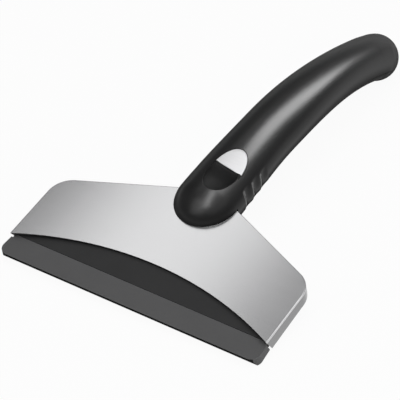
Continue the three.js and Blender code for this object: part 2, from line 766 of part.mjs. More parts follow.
function handleScrewBores() {
  const shaft = HANDLE_SCREW_SHAFT / 2 + FIT;
  const head = HANDLE_SCREW_HEAD / 2 + FIT;
  const low = -3 * NOSE_HALF_HEIGHT;
  const top = screwTip + FIT;
  const bore = turned([
    [0, low],
    [head, low],
    [head, screwSeat],
    [shaft, screwSeat],
    [shaft, top],
    [0, top],
  ]);
  return handleScrewYs.map((y) => placed(bore, y)).reduce((all, one) => all.add(one));
}

const handleForMoulding = handleForm()
  .subtract(handleHollow())
  .subtract(grooveCuts())
  .subtract(handleScrewBores());

function makeHandleBody() {
  const headSpace = planPrism(headOutline(-FIT), -2 * NOSE_HALF_HEIGHT, FIT);
  const tangHalf = TANG_WIDTH / 2 + FIT;
  const low = -3 * NOSE_HALF_HEIGHT;
  const tangSpace = box(-tangHalf, tangHalf, NOSE_TIP_Y, tangEndY + FIT, low, TANG_TOP + FIT);
  return handleForMoulding
    .subtract(underParting(PARTING_GAP / 2))
    .subtract(headSpace)
    .subtract(tangSpace)
    .subtract(recessCut());
}

function makeHandleLid() {
  return handleForMoulding.intersect(underParting(-PARTING_GAP / 2));
}

// Assembly
const tool = new THREE.Group();

function addPiece(name, body, material) {
  const mesh = new THREE.Mesh(geometryOf(body), material);
  mesh.name = name;
  tool.add(mesh);
  return mesh;
}

addPiece('head_shell', makeShell(), satinSteel);
addPiece('head_core', makeCore(), corePlastic);
addPiece('blade', makeBlade(), bladePlastic);
addPiece('tang', makeTang(), screwSteel);
addPiece('handle_body', makeHandleBody(), blackPlastic);
addPiece('handle_lid', makeHandleLid(), blackPlastic);
addPiece('thumb_inlay', makeInlay(), brightSteel);

const headScrew = makeHeadScrew();
bladeScrewPlaces.forEach(([x, y], i) => {
  addPiece(`blade_screw_${i + 1}`, headScrew, screwSteel).position.set(x, y, CORE_BOTTOM);
});
tangScrewPlaces.forEach(([x, y], i) => {
  addPiece(`tang_screw_${i + 1}`, headScrew, screwSteel).position.set(x, y, CORE_BOTTOM);
});
const handleScrew = makeHandleScrew();
handleScrewYs.forEach((y, i) => {
  const piece = addPiece(`handle_screw_${i + 1}`, handleScrew, screwSteel);
  handlePlace(y).decompose(piece.position, piece.quaternion, piece.scale);
});

// Laid down on the blade's lower front edge and the ball tip
const restY = BLADE_BACK_Y - BLADE_REACH + BLADE_UNDERCUT;
const restZ = BLADE_TOP - BLADE_THICKNESS;
const [ballY, ballZ] = tipCentre();
const span = Math.hypot(ballY - restY, ballZ - restZ);
const restTilt = Math.asin(TIP_RADIUS / span) - Math.atan2(ballZ - restZ, ballY - restY);
tool.rotation.x = restTilt;
tool.updateMatrixWorld(true);

const iceScraper = new THREE.Group();
iceScraper.add(tool);
const bounds = new THREE.Box3().setFromObject(iceScraper, true);
const middle = bounds.getCenter(new THREE.Vector3());
tool.position.set(-middle.x, -middle.y, -bounds.min.z);
iceScraper.updateMatrixWorld(true);

export default iceScraper;
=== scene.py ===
import math

import bmesh
import bpy
from mathutils import Matrix, Vector


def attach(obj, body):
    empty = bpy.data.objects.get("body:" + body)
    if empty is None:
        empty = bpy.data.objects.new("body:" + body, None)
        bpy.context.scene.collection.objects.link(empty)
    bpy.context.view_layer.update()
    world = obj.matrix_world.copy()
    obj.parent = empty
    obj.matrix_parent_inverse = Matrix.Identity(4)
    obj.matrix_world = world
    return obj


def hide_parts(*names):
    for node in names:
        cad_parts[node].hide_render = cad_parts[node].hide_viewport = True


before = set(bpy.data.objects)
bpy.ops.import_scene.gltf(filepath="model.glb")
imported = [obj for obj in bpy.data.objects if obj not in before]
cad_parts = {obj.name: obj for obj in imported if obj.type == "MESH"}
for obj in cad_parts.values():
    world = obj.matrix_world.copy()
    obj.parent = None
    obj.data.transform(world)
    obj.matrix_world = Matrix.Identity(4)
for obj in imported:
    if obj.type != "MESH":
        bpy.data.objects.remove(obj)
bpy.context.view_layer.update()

# Shapes below are drawn in millimetres with the head flat, then laid down on the blade and the tip
REST_TILT = 0.18843333
REST_PLACE = Vector((0.0, -0.10180381, 0.00874427))
MILLIMETRE = 0.001
LAID = Matrix.Translation(REST_PLACE) @ Matrix.Rotation(REST_TILT, 4, "X")
TOOL = LAID @ Matrix.Scale(MILLIMETRE, 4)
HEAD_UP = (LAID.to_3x3() @ Vector((0, 0, 1))).normalized()
HEAD_FRONT = (LAID.to_3x3() @ Vector((0, -1, 0))).normalized()

# Clearances
FIT = 0.3
PARTING_GAP = 0.3
CUT_PAST = 5.0

# Head
HEAD_HALF_WIDTH = 70.4
HEAD_SIDE_TAPER = 0.7
HEAD_FRONT_Y = -0.5
HEAD_CORNER_Y = 37.6
HEAD_BACK_Y = 61.4
FLANGE_DEPTH = 6.1
FRONT_ARC_RISE = 15.3
SHEET = 1.0
CORE_TOP = -(SHEET + FIT)
CORE_BOTTOM = -FLANGE_DEPTH
LEDGE_CLEAR = 1.0
LEDGE_END_Y = HEAD_FRONT_Y + FRONT_ARC_RISE + LEDGE_CLEAR
TANG_WIDTH = 18.0
TANG_THICKNESS = 2.0
TANG_TOP = CORE_BOTTOM + TANG_THICKNESS
TANG_WINDOW_MARGIN = 2.0
HEAD_BACK_HALF_WIDTH = TANG_WIDTH / 2 + TANG_WINDOW_MARGIN

# Handle
NOSE_TIP_Y = 41.5
NOSE_ROOT_Y = 59.0
NOSE_SIZE = (15.9, 12.5)
GRIP_Y = 112.0
GRIP_SIZE = (14.1, 12.5)
NECK_SIZE = (11.5, 11.3)
TIP_Y = 199.1
TIP_RADIUS = 11.55
TIP_SINK = 0.7
TIP_BLEND = 0.25
NECK_SET_BACK = 9.3
NECK_Y = TIP_Y - NECK_SET_BACK
AXIS_Z = -2.3
BEND_START_Y = 70.0
BEND_DROP = 32.1
BEND_POWER = 2.6
PARTING_OFFSET = -(FLANGE_DEPTH + AXIS_Z + FIT)
HEAD_STOP_WALL = 6.2
HOLLOW_START_Y = HEAD_BACK_Y + FIT + HEAD_STOP_WALL

# Thumb recess
RECESS_X = 2.8
RECESS_Y = 71.3
RECESS_HALF_WIDTH = 7.7
RECESS_HALF_LENGTH = 13.9
RECESS_DEPTH = 4.6
RECESS_TILT = math.radians(10)
RECESS_TURN = math.radians(-4)
OVAL_POWER_AT_NOSE = 2.3
OVAL_POWER_AT_BACK = 2.0
BOWL_BACK_SHARE = 0.45
BOWL_SLOPE_LENGTH = 8.0
INLAY_FRONT = 2.2
INLAY_SINK = 1.6
INLAY_THICKNESS = 1.0
INLAY_CROWN = 0.3
INLAY_EDGE = 0.18

# Grip scallops
SCALLOP_COUNT = 3
SCALLOP_FIRST_Y = 66.2
SCALLOP_PITCH = 6.8
SCALLOP_DEPTH = 1.25
SCALLOP_HALF_LENGTH = 6.9
SCALLOP_SHORTER = 0.4
SCALLOP_MIDDLE_Z = -2.9
SCALLOP_LOWER = 0.3
SCALLOP_BOW = 1.9
SCALLOP_WALL = 2.4
SCALLOP_RAMP = 4.2
SCALLOP_LEAST_X = 8.0
SCALLOP_WALL_SLOPE = 0.1

# Screws
SCREW_SIDES = 40
HANDLE_SCREW_SHAFT = 3.4
HANDLE_SCREW_HEAD = 6.0
HANDLE_SCREW_HEAD_HEIGHT = 2.2
HANDLE_SCREW_SEAT = 3.0
HANDLE_SCREW_BITE = 6.5
SCREW_SEAT = PARTING_OFFSET - HANDLE_SCREW_SEAT
SCREW_TIP = PARTING_OFFSET + HANDLE_SCREW_BITE
CLAMP_SCREW_SET_BACK = 9.5
CLAMP_SCREW_PITCH = 24.0
CLAMP_SCREW_Y = HOLLOW_START_Y + CLAMP_SCREW_SET_BACK
BACK_SCREW_SET_BACK = 20.0
BACK_SCREW_PITCH = 34.0
BACK_SCREW_Y = TIP_Y - BACK_SCREW_SET_BACK
HANDLE_SCREW_YS = (
    CLAMP_SCREW_Y,
    CLAMP_SCREW_Y + CLAMP_SCREW_PITCH,
    BACK_SCREW_Y - BACK_SCREW_PITCH,
    BACK_SCREW_Y,
)
TANG_END_MARGIN = 8.0
TANG_END_Y = CLAMP_SCREW_Y + CLAMP_SCREW_PITCH + TANG_END_MARGIN
HEAD_SCREW_SHAFT = 3.0
HEAD_SCREW_HEAD = 5.4
HEAD_SCREW_HEAD_HEIGHT = 1.2
HEAD_SCREW_TIP_CLEAR = 0.3
HEAD_SCREW_LENGTH = CORE_TOP - HEAD_SCREW_TIP_CLEAR - CORE_BOTTOM
BLADE_SCREW_COUNT = 4
BLADE_SCREW_SET_BACK = 5.0
BLADE_SCREW_Y = LEDGE_END_Y + BLADE_SCREW_SET_BACK
TONGUE_SIDE_MARGIN = 8.8
TONGUE_END_MARGIN = 6.0
BLADE_SCREW_PITCH = 2 * (HEAD_HALF_WIDTH - TONGUE_SIDE_MARGIN) / BLADE_SCREW_COUNT
TANG_SET_BACK = 6.0
TANG_SCREW_COUNT = 2
TANG_SCREW_SET_BACK = 6.0
TANG_SCREW_Y = BLADE_SCREW_Y + TONGUE_END_MARGIN + TANG_SET_BACK + TANG_SCREW_SET_BACK
TANG_SCREW_PITCH = 14.0

# Fineness of the handle's skin
NOSE_STEPS = 44
FINE_STEP = 0.24
FINE_END_Y = 94.0
PLAIN_STEP = 1.6
PLAIN_END_Y = 186.0
TIP_STEP = 0.6

# Edges: a bend above the first angle shows as a crease, and one above the second is rounded off
CREASE_ANGLE = math.radians(35)
EASED_ANGLE = math.radians(40)

# Camera, as seen from the flat head
VIEW_TURN = 0.7212
VIEW_RISE = 0.8224
VIEW_ROLL = 0.1818
VIEW_OFFSET = Vector((-28.6458, 38.5518, 1518.0857))
FOCAL_PIXELS = 3387.79
PICTURE_PIXELS = 400
SENSOR_WIDTH = 36.0

# Studio: greys of the room, and where its darker wall stands, seen from the tool
ROOM_GREY = 0.40
WALL_GREY = 0.19
WALL_TOWARDS = Vector((-0.5, 0.75, 0.43)).normalized()
WALL_START = 0.5
WALL_FULL = 0.8
FLOOR_GREY = 0.9
FLOOR_GLOW = 0.94
FLOOR_HALF = 4.0

# Where the handle's skin turns duller, from seen face on at 0 to edge on at 1
RIM_START = 0.46
RIM_FULL = 0.8


# Shader helpers


def shader_node(tree, kind, **settings):
    node = tree.nodes.new(kind)
    for key, value in settings.items():
        setattr(node, key, value)
    return node


def link(tree, start, end):
    tree.links.new(start, end)


def math_node(tree, operation, first, second):
    node = shader_node(tree, "ShaderNodeMath", operation=operation)
    for socket, value in zip(node.inputs, (first, second)):
        if isinstance(value, bpy.types.NodeSocket):
            link(tree, value, socket)
        else:
            socket.default_value = value
    return node.outputs[0]


def spread(tree, value, low, high):
    """A value from 0 to 1 spread over low to high."""
    node = shader_node(tree, "ShaderNodeMapRange")
    link(tree, value, node.inputs["Value"])
    node.inputs["To Min"].default_value = low
    node.inputs["To Max"].default_value = high
    return node.outputs["Result"]


def tint(tree, mask, dark, light):
    node = shader_node(tree, "ShaderNodeMix", data_type="RGBA")
    link(tree, mask, node.inputs[0])
    node.inputs[6].default_value = (*dark, 1)
    node.inputs[7].default_value = (*light, 1)
    return node.outputs[2]


def new_group(name, inputs, outputs):
    group = bpy.data.node_groups.new(name, "ShaderNodeTree")
    for label, value in inputs:
        socket = group.interface.new_socket(label, in_out="INPUT", socket_type="NodeSocketFloat")
        socket.default_value = value
    for label in outputs:
        group.interface.new_socket(label, in_out="OUTPUT", socket_type="NodeSocketFloat")
    start = group.nodes.new("NodeGroupInput")
    end = group.nodes.new("NodeGroupOutput")
    return group, start, end


def place_group(tree, group, **values):
    node = shader_node(tree, "ShaderNodeGroup", node_tree=group)
    for label, value in values.items():
        node.inputs[label].default_value = value
    return node


def moulded_grain_group():
    """Fine even grain of a moulded plastic skin."""
    group, start, end = new_group("moulded_grain", [("Scale", 2500), ("Detail", 2)], ["Height", "Shade"])
    place = shader_node(group, "ShaderNodeTexCoord")
    fine = shader_node(group, "ShaderNodeTexNoise")
    link(group, place.outputs["Object"], fine.inputs["Vector"])
    link(group, start.outputs["Scale"], fine.inputs["Scale"])
    link(group, start.outputs["Detail"], fine.inputs["Detail"])
    coarse = shader_node(group, "ShaderNodeTexNoise")
    link(group, place.outputs["Object"], coarse.inputs["Vector"])
    link(group, math_node(group, "MULTIPLY", start.outputs["Scale"], 0.06), coarse.inputs["Scale"])
    link(group, fine.outputs["Fac"], end.inputs["Height"])
    link(group, coarse.outputs["Fac"], end.inputs["Shade"])
    return group


def brushed_lines_group():
    """Short scratches along x, as a belt leaves them on sheet steel."""
    inputs = [("Scale", 900), ("Stretch", 0.02)]
    group, start, end = new_group("brushed_lines", inputs, ["Height", "Shade"])
    place = shader_node(group, "ShaderNodeTexCoord")
    split = shader_node(group, "ShaderNodeSeparateXYZ")
    link(group, place.outputs["Object"], split.inputs[0])
    joined = shader_node(group, "ShaderNodeCombineXYZ")
    drawn_out = math_node(group, "MULTIPLY", split.outputs["X"], start.outputs["Stretch"])
    link(group, drawn_out, joined.inputs["X"])
    link(group, split.outputs["Y"], joined.inputs["Y"])
    link(group, split.outputs["Z"], joined.inputs["Z"])
    lines = shader_node(group, "ShaderNodeTexNoise")
    lines.inputs["Detail"].default_value = 3
    link(group, joined.outputs[0], lines.inputs["Vector"])
    link(group, start.outputs["Scale"], lines.inputs["Scale"])
    link(group, lines.outputs["Fac"], end.inputs["Height"])
    link(group, lines.outputs["Fac"], end.inputs["Shade"])
    return group


def hand_marks_group():
    """Broad uneven sheen where hands have been."""
    group, start, end = new_group("hand_marks", [("Scale", 40), ("Contrast", 1)], ["Mask"])
    place = shader_node(group, "ShaderNodeTexCoord")
    patches = shader_node(group, "ShaderNodeTexNoise")
    patches.inputs["Detail"].default_value = 4
    patches.inputs["Distortion"].default_value = 0.6
    link(group, place.outputs["Object"], patches.inputs["Vector"])
    link(group, start.outputs["Scale"], patches.inputs["Scale"])
    centred = math_node(group, "SUBTRACT", patches.outputs["Fac"], 0.5)
    scaled = math_node(group, "MULTIPLY", centred, start.outputs["Contrast"])
    link(group, math_node(group, "ADD", scaled, 0.5), end.inputs["Mask"])
    return group


def edge_wear_group():
    """Mask of the rubbed edges, broken up by patches."""
    group, start, end = new_group("edge_wear", [("Width", 0.0004), ("Patches", 300)], ["Mask"])
    eased = shader_node(group, "ShaderNodeBevel", samples=6)
    link(group, start.outputs["Width"], eased.inputs["Radius"])
    flat = shader_node(group, "ShaderNodeNewGeometry")
    facing = shader_node(group, "ShaderNodeVectorMath", operation="DOT_PRODUCT")
    link(group, eased.outputs["Normal"], facing.inputs[0])
    link(group, flat.outputs["Normal"], facing.inputs[1])
    edge = math_node(group, "SUBTRACT", 1.0, facing.outputs["Value"])
    place = shader_node(group, "ShaderNodeTexCoord")
    patches = shader_node(group, "ShaderNodeTexNoise")
    link(group, place.outputs["Object"], patches.inputs["Vector"])
    link(group, start.outputs["Patches"], patches.inputs["Scale"])
    broken = math_node(group, "MULTIPLY", edge, patches.outputs["Fac"])
    clamped = shader_node(group, "ShaderNodeClamp")
    link(group, math_node(group, "MULTIPLY", broken, 6.0), clamped.inputs[0])
    link(group, clamped.outputs[0], end.inputs["Mask"])
    return group


MOULDED_GRAIN = moulded_grain_group()
BRUSHED_LINES = brushed_lines_group()
HAND_MARKS = hand_marks_group()
EDGE_WEAR = edge_wear_group()


def new_finish(name):
    material = bpy.data.materials.new(name)
    material.use_nodes = True
    tree = material.node_tree
    return material, tree, tree.nodes["Principled BSDF"]


def raise_surface(tree, shader, height, distance):
    bump = shader_node(tree, "ShaderNodeBump")
    bump.inputs["Distance"].default_value = distance
    link(tree, height, bump.inputs["Height"])
    link(tree, bump.outputs["Normal"], shader.inputs["Normal"])


def moulded_plastic(name, dark, light, rubbed, rough, grain_scale, grain_height, shine, rim=0.0):
    """Grained plastic skin; rim is how much duller it gets where it is seen at a slant."""
    material, tree, shader = new_finish(name)
    grain = place_group(tree, MOULDED_GRAIN, Scale=grain_scale)
    marks = place_group(tree, HAND_MARKS, Scale=55, Contrast=1.2)
    wear = place_group(tree, EDGE_WEAR, Width=0.0005, Patches=400)
    skin = tint(tree, grain.outputs["Shade"], dark, light)
    worn = shader_node(tree, "ShaderNodeMix", data_type="RGBA")
    link(tree, wear.outputs["Mask"], worn.inputs[0])
    link(tree, skin, worn.inputs[6])
    worn.inputs[7].default_value = (*rubbed, 1)
    link(tree, worn.outputs[2], shader.inputs["Base Color"])
    roughness = spread(tree, marks.outputs["Mask"], *rough)
    if rim > 0:
        slant = shader_node(tree, "ShaderNodeLayerWeight")
        duller = shader_node(tree, "ShaderNodeMapRange", interpolation_type="SMOOTHSTEP")
        duller.inputs["From Min"].default_value = RIM_START
        duller.inputs["From Max"].default_value = RIM_FULL
        duller.inputs["To Max"].default_value = rim
        link(tree, slant.outputs["Facing"], duller.inputs["Value"])
        roughness = math_node(tree, "ADD", roughness, duller.outputs["Result"])
    link(tree, roughness, shader.inputs["Roughness"])
    shader.inputs["Specular IOR Level"].default_value = shine
    raise_surface(tree, shader, grain.outputs["Height"], grain_height)
    return material


def sheet_steel(name, dark, light, rough, lines_scale, lines_height):
    material, tree, shader = new_finish(name)
    lines = place_group(tree, BRUSHED_LINES, Scale=lines_scale)
    marks = place_group(tree, HAND_MARKS, Scale=30, Contrast=1.0)
    link(tree, tint(tree, lines.outputs["Shade"], dark, light), shader.inputs["Base Color"])
    base = spread(tree, marks.outputs["Mask"], *rough)
    fine = spread(tree, lines.outputs["Shade"], -0.02, 0.02)
    link(tree, math_node(tree, "ADD", base, fine), shader.inputs["Roughness"])
    shader.inputs["Metallic"].default_value = 1.0
    raise_surface(tree, shader, lines.outputs["Height"], lines_height)
    return material


def grey(value):
    return (value, value, value * 1.01)


HANDLE_BLACK = moulded_plastic(
    "handle_black", grey(0.0025), grey(0.0035), grey(0.012),
    rough=(0.29, 0.33), grain_scale=2600, grain_height=0.000012, shine=0.28, rim=0.6)
GROOVE_BLACK = moulded_plastic(
    "groove_black", grey(0.0025), grey(0.0035), grey(0.012),
    rough=(0.30, 0.34), grain_scale=2600, grain_height=0.000008, shine=1.0)
# Painted shade: the handle's black, painted a little darker in the thumb recess, which is also duller
# and less shiny.
SCOOP_SHADE_BLACK = moulded_plastic(
    "scoop_painted_shade", grey(0.0022), grey(0.0032), grey(0.008),
    rough=(0.6, 0.7), grain_scale=2600, grain_height=0.000012, shine=0.08)
CORE_BLACK = moulded_plastic(
    "core_black", grey(0.038), grey(0.045), grey(0.060),
    rough=(0.6, 0.7), grain_scale=1800, grain_height=0.00003, shine=0.15)
BLADE_GREY = moulded_plastic(
    "blade_grey", grey(0.100), grey(0.115), grey(0.17),
    rough=(0.5, 0.62), grain_scale=1500, grain_height=0.00003, shine=0.3)
# Painted shade: the blade's own grey plastic, painted darker for its forward faces.
BLADE_FRONT_SHADE = moulded_plastic(
    "blade_front_painted_shade", grey(0.020), grey(0.026), grey(0.04),
    rough=(0.6, 0.7), grain_scale=1500, grain_height=0.00001, shine=0.0)
SATIN_STEEL = sheet_steel(
    "satin_steel", grey(0.60), grey(0.66), rough=(0.205, 0.22), lines_scale=1400, lines_height=0.000003)
# Painted highlight: the same steel as the face, painted lighter along the rolled fold.
ROLL_PAINTED_HIGHLIGHT = sheet_steel(
    "roll_painted_highlight", grey(0.74), grey(0.82), rough=(0.12, 0.17), lines_scale=1400, lines_height=0.000002)
# Painted shade: the same steel as the face, painted darker on the sideways flanges.
FLANGE_PAINTED_SHADE = sheet_steel(
    "flange_painted_shade", grey(0.23), grey(0.28), rough=(0.14, 0.20), lines_scale=1400, lines_height=0.000002)
BRIGHT_INLAY = sheet_steel(
    "bright_inlay", grey(0.74), grey(0.80), rough=(0.315, 0.33), lines_scale=900, lines_height=0.000002)
SCREW_STEEL = sheet_steel(
    "screw_steel", grey(0.36), grey(0.44), rough=(0.32, 0.40), lines_scale=2600, lines_height=0.000003)


# Piece helpers


def with_modifier(mesh, kind, **settings):
    """The mesh as one modifier leaves it."""
    holder = bpy.data.objects.new("blank", mesh)
    bpy.context.scene.collection.objects.link(holder)
    change = holder.modifiers.new("change", kind)
    for key, value in settings.items():
        setattr(change, key, value)
    bpy.context.view_layer.update()
    graph = bpy.context.evaluated_depsgraph_get()
    result = bpy.data.meshes.new_from_object(holder.evaluated_get(graph))
    bpy.data.objects.remove(holder)
    return result


def finish_piece(mesh, name, node, materials):
    """A mesh in the laid-down frame becomes the piece that stands for a node."""
    mesh.shade_smooth()
    mesh.set_sharp_from_angle(angle=CREASE_ANGLE)
    mesh = with_modifier(mesh, "WEIGHTED_NORMAL", mode="FACE_AREA", weight=80, keep_sharp=True)
    piece = bpy.data.objects.new(name, mesh)
    bpy.context.scene.collection.objects.link(piece)
    for material in materials:
        mesh.materials.append(material)
    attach(piece, "root")
    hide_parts(node)
    return piece


def mesh_from(verts, faces, name):
    mesh = bpy.data.meshes.new(name)
    mesh.from_pydata([tuple(v) for v in verts], [], faces)
    body = bmesh.new()
    body.from_mesh(mesh)
    bmesh.ops.recalc_face_normals(body, faces=body.faces)
    body.to_mesh(mesh)
    body.free()
    return mesh


def drop_slivers(mesh):
    """Many-sided faces cut into triangles, less those that fold back on each other along a cut."""
    body = bmesh.new()
    body.from_mesh(mesh)
    bmesh.ops.triangulate(body, faces=[face for face in body.faces if len(face.verts) > 4])
    alike = {}
    for face in body.faces:
        alike.setdefault(frozenset(face.verts), []).append(face)
    folded = [face for faces in alike.values() if len(faces) > 1 for face in faces]
    while folded:
        bmesh.ops.delete(body, geom=folded, context="FACES")
        folded = list({edge.link_faces[0] for edge in body.edges if len(edge.link_faces) == 1})
    body.to_mesh(mesh)
    body.free()
    return mesh


def carve(mesh, cutters, keep_inside=None):
    """The mesh less its cutters; with keep_inside, only what lies inside that one."""
    target = bpy.data.objects.new("blank", mesh)
    bpy.context.scene.collection.objects.link(target)
    tools = []
    steps = [(cutter, "DIFFERENCE") for cutter in cutters]
    if keep_inside is not None:
        steps.insert(0, (keep_inside, "INTERSECT"))
    for cutter, operation in steps:
        tool = bpy.data.objects.new("cutter", cutter)
        bpy.context.scene.collection.objects.link(tool)
        tools.append(tool)
        change = target.modifiers.new("cut", "BOOLEAN")
        change.object = tool
        change.operation = operation
        change.solver = "EXACT"
    bpy.context.view_layer.update()
    graph = bpy.context.evaluated_depsgraph_get()
    result = bpy.data.meshes.new_from_object(target.evaluated_get(graph))
    for thing in tools + [target]:
        bpy.data.objects.remove(thing)
    return drop_slivers(result)


def prism(outline, low, high, across):
    """Outline of (a, b) drawn along x from low to high, or along z when across is false."""
    count = len(outline)
    verts = []
    for level in (low, high):
        for a, b in outline:
            verts.append(Vector((level, a, b)) if across else Vector((a, b, level)))
    faces = [tuple(range(count)), tuple(range(count, 2 * count))]
    for i in range(count):
        j = (i + 1) % count
        faces.append((i, j, count + j, count + i))
    return mesh_from(verts, faces, "prism")


def block(x0, x1, y0, y1, z0, z1):
    return prism([(x0, y0), (x1, y0), (x1, y1), (x0, y1)], z0, z1, False)


def turned(profile, place=Matrix.Identity(4)):
    """Round solid about z from (radius, z) points between two points on the axis."""
    verts = [Vector((0, 0, profile[0][1]))]
    rings = profile[1:-1]
    for radius, z in rings:
        for i in range(SCREW_SIDES):
            angle = 2 * math.pi * (i + 0.5) / SCREW_SIDES
            verts.append(Vector((radius * math.cos(angle), radius * math.sin(angle), z)))
    verts.append(Vector((0, 0, profile[-1][1])))
    faces = []
    last = len(verts) - 1
    for i in range(SCREW_SIDES):
        j = (i + 1) % SCREW_SIDES
        faces.append((0, 1 + j, 1 + i))
        for r in range(len(rings) - 1):
            a = 1 + r * SCREW_SIDES
            b = a + SCREW_SIDES
            faces.append((a + i, a + j, b + j, b + i))
        top = 1 + (len(rings) - 1) * SCREW_SIDES
        faces.append((last, top + i, top + j))
    mesh = mesh_from(verts, faces, "turned")
    mesh.transform(place)
    return mesh


def ease_edges(mesh, radius, steps):
    """Flat faces joined up and sharp edges rounded, in the mesh's own units."""
    body = bmesh.new()
    body.from_mesh(mesh)
    bmesh.ops.remove_doubles(body, verts=body.verts, dist=radius * 0.01)
    bmesh.ops.dissolve_limit(body, angle_limit=math.radians(0.2), verts=body.verts, edges=body.edges)
    closed = [edge for edge in body.edges if len(edge.link_faces) == 2]
    sharp = [edge for edge in closed if edge.calc_face_angle() > EASED_ANGLE]
    bmesh.ops.bevel(
        body, geom=sharp, offset=radius, segments=steps, profile=0.5, affect="EDGES", clamp_overlap=True)
    body.to_mesh(mesh)
    body.free()
    return mesh


# Handle


def axis_height(y):
    if y <= BEND_START_Y:
        return AXIS_Z
    if y > TIP_Y:
        return axis_height(TIP_Y) + axis_slope(TIP_Y) * (y - TIP_Y)
    return AXIS_Z - BEND_DROP * ((y - BEND_START_Y) / (TIP_Y - BEND_START_Y)) ** BEND_POWER


def axis_slope(y):
    if y <= BEND_START_Y:
        return 0.0
    reach = TIP_Y - BEND_START_Y
    along = (min(y, TIP_Y) - BEND_START_Y) / reach
    return -BEND_DROP * BEND_POWER * along ** (BEND_POWER - 1) / reach


def over_axis(y, height):
    turn = math.atan(axis_slope(y))
    return y - height * math.sin(turn), axis_height(y) + height * math.cos(turn)


def handle_place(y):
    turn = Matrix.Rotation(math.atan(axis_slope(y)), 4, "X")
    return Matrix.Translation((0, y, axis_height(y))) @ turn


def eased(t):
    return (1 - math.cos(math.pi * min(1.0, max(0.0, t)))) / 2


def between(first, second, t):
    return tuple(a + (b - a) * t for a, b in zip(first, second))


def handle_size(y):
    if y < NOSE_ROOT_Y:
        short = (NOSE_ROOT_Y - y) / (NOSE_ROOT_Y - NOSE_TIP_Y)
        swell = math.sqrt(max(0.0, 1 - short * short))
        return NOSE_SIZE[0] * swell, NOSE_SIZE[1] * swell
    if y < GRIP_Y:
        return between(NOSE_SIZE, GRIP_SIZE, eased((y - NOSE_ROOT_Y) / (GRIP_Y - NOSE_ROOT_Y)))
    if y > NECK_Y:
        tip = TIP_RADIUS - TIP_SINK
        return between(NECK_SIZE, (TIP_RADIUS, tip), (y - NECK_Y) / (TIP_Y - NECK_Y))
    return between(GRIP_SIZE, NECK_SIZE, eased((y - GRIP_Y) / (NECK_Y - GRIP_Y)))


def soft_max(a, b, blend):
    return (a + b + math.sqrt((a - b) ** 2 + blend * blend)) / 2


def handle_stations():
    """Places along the handle, closest together at the recess and the scallops."""
    ys = []
    for i in range(1, NOSE_STEPS + 1):
        ys.append(NOSE_ROOT_Y - (NOSE_ROOT_Y - NOSE_TIP_Y) * math.cos(math.pi / 2 * i / NOSE_STEPS))
    stretches = (
        (NOSE_ROOT_Y, FINE_END_Y, FINE_STEP),
        (FINE_END_Y, PLAIN_END_Y, PLAIN_STEP),
        (PLAIN_END_Y, TIP_Y, TIP_STEP),
    )
    for start, end, step in stretches:
        count = round((end - start) / step)
        ys.extend(start + (end - start) * i / count for i in range(1, count + 1))
    return ys


def recess_place():
    half_width, half_height = handle_size(RECESS_Y)
    top = AXIS_Z + half_height * math.sqrt(1 - (RECESS_X / half_width) ** 2)
    lean = Matrix.Rotation(RECESS_TILT, 4, "Y")
    turn = Matrix.Rotation(RECESS_TURN, 4, "Z")
    return Matrix.Translation((RECESS_X, RECESS_Y, top)) @ lean @ turn


RECESS = recess_place()
RECESS_BACK = RECESS.inverted()


def inlay_height(y):
    return INLAY_SINK / (RECESS_HALF_LENGTH - INLAY_FRONT) * (y - RECESS_HALF_LENGTH)


def oval_point(share, angle):
    """Point of the recess's oval, a little fuller at the nose end than an ellipse."""
    cos, sin = math.cos(angle), math.sin(angle)
    power = OVAL_POWER_AT_NOSE if sin < 0 else OVAL_POWER_AT_BACK
    reach = share / (abs(cos) ** power + abs(sin) ** power) ** (1 / power)
    return RECESS_HALF_WIDTH * reach * cos, RECESS_HALF_LENGTH * reach * sin


def bowl_depth(y):
    towards_nose = eased((INLAY_FRONT - y) / BOWL_SLOPE_LENGTH)
    return RECESS_DEPTH * (BOWL_BACK_SHARE + (1 - BOWL_BACK_SHARE) * towards_nose)


def thumb_scoop(sides=160, loops=24):
    """What the thumb recess takes out: a bowl that is deepest towards the nose."""
    verts = []
    faces = []
    top = 2 * RECESS_DEPTH
    for k in range(1, loops + 1):
        lean = math.pi / 2 * k / loops
        for i in range(sides):
            x, y = oval_point(math.sin(lean), 2 * math.pi * i / sides)
            verts.append(Vector((x, y, -bowl_depth(y) * math.cos(lean))))
    for i in range(sides):
        x, y = oval_point(1, 2 * math.pi * i / sides)
        verts.append(Vector((x, y, top)))
    for k in range(loops):
        for i in range(sides):
            j = (i + 1) % sides
            a, b = k * sides, (k + 1) * sides
            faces.append((a + i, a + j, b + j, b + i))
    verts.append(Vector((0, 0, -bowl_depth(0))))
    for i in range(sides):
        faces.append((len(verts) - 1, i, (i + 1) % sides))
    faces.append(tuple(range(loops * sides, (loops + 1) * sides)))
    mesh = mesh_from(verts, faces, "thumb_scoop")
    mesh.transform(RECESS)
    return mesh


def inlay_seat(sides=96):
    """Room for the inlay in the back half of the recess."""
    start = math.asin(INLAY_FRONT / RECESS_HALF_LENGTH)
    outline = []
    for i in range(sides + 1):
        outline.append(oval_point(1, start + (math.pi - 2 * start) * i / sides))
    verts = [Vector((x, y, inlay_height(y) - INLAY_THICKNESS - FIT)) for x, y in outline]
    verts += [Vector((x, y, 2 * RECESS_DEPTH)) for x, y in outline]
    count = len(outline)
    faces = [tuple(range(count)), tuple(range(count, 2 * count))]
    for i in range(count):
        j = (i + 1) % count
        faces.append((i, j, count + j, count + i))
    mesh = mesh_from(verts, faces, "inlay_seat")
    mesh.transform(RECESS)
    return mesh


